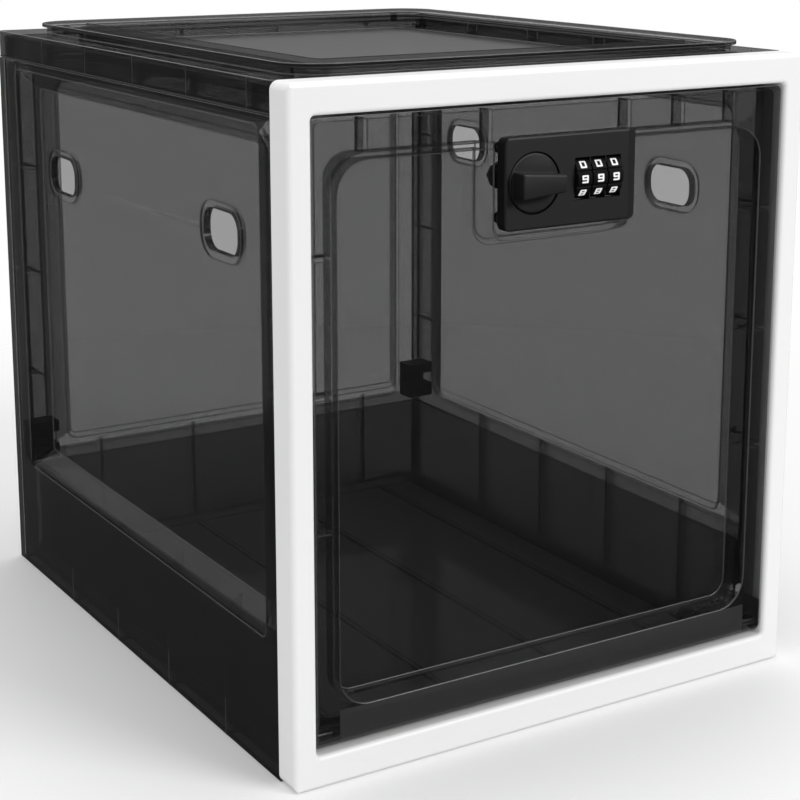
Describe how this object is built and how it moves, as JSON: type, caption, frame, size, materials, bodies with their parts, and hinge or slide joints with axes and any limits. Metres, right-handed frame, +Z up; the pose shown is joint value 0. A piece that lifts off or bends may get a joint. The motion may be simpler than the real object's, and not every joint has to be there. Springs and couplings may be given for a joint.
{
  "type": "combination lock box",
  "caption": "Smoked see-through storage box with a white front frame and a drop-down door locked by a dial combination lock with a turning knob; rim and tray on top for stacking.",
  "frame": {"origin": "centre of the bounding box at the level of the surface it stands on", "axes": "+Z up, +Y from the door towards the back, +X to the right seen from the front"},
  "size_m": [0.272, 0.3464, 0.305],
  "materials": {
    "white_frame": "satin white moulding",
    "smoked_plastic": "smoked transparent moulding",
    "smoked_door": "smoked transparent moulding, polished",
    "lock_black": "satin black",
    "dial_black": "fine knurl, white digits",
    "clip_black": "matt black",
    "steel": "zinc plated",
    "spring_steel": "bright strip",
    "button_red": "plain moulding"
  },
  "bodies": {
    "root": {"front_frame": "white_frame", "left_panel": "smoked_plastic", "right_panel": "smoked_plastic", "back_panel": "smoked_plastic", "top_panel": "smoked_plastic", "base_panel": "smoked_plastic", "corner_clips": "clip_black", "hinge_pins": "steel", "strike_plate": "steel", "strike_screws": "steel"},
    "door": {"door_panel": "smoked_door", "lock_faceplate": "lock_black", "lock_housing": "lock_black", "lock_rear_cover": "lock_black", "dial_axle": "steel", "dial_detent_spring": "spring_steel", "lock_screws": "lock_black", "cover_screws": "steel"},
    "latch": {"lock_knob": "lock_black", "lock_spindle": "steel", "latch_cam": "steel", "cam_washer": "steel", "cam_nut": "steel"},
    "left_dial": {"dial_left": "dial_black"},
    "middle_dial": {"dial_middle": "dial_black"},
    "right_dial": {"dial_right": "dial_black"},
    "button": {"code_change_button": "button_red"}
  },
  "joints": [
    {"name": "door_hinge", "type": "hinge", "parent": "root", "child": "door", "pos_m": [0, -0.1538, 0.0205], "axis": [1, 0, 0], "range_deg": [0, 89]},
    {"name": "knob_turn", "type": "hinge", "parent": "door", "child": "latch", "pos_m": [-0.02, -0.1538, 0.252], "axis": [0, -1, 0], "range_deg": [0, 90]},
    {"name": "left_dial_spin", "type": "hinge", "parent": "door", "child": "left_dial", "pos_m": [0.0051, -0.1568, 0.252], "axis": [1, 0, 0], "continuous": true},
    {"name": "middle_dial_spin", "type": "hinge", "parent": "door", "child": "middle_dial", "pos_m": [0.0135, -0.1568, 0.252], "axis": [1, 0, 0], "continuous": true},
    {"name": "right_dial_spin", "type": "hinge", "parent": "door", "child": "right_dial", "pos_m": [0.0219, -0.1568, 0.252], "axis": [1, 0, 0], "continuous": true},
    {"name": "button_press", "type": "slide", "parent": "door", "child": "button", "axis": [0, -1, 0], "range_m": [0, 0.002], "stiffness_N_per_m": 150, "springref_m": -0.002}
  ]
}
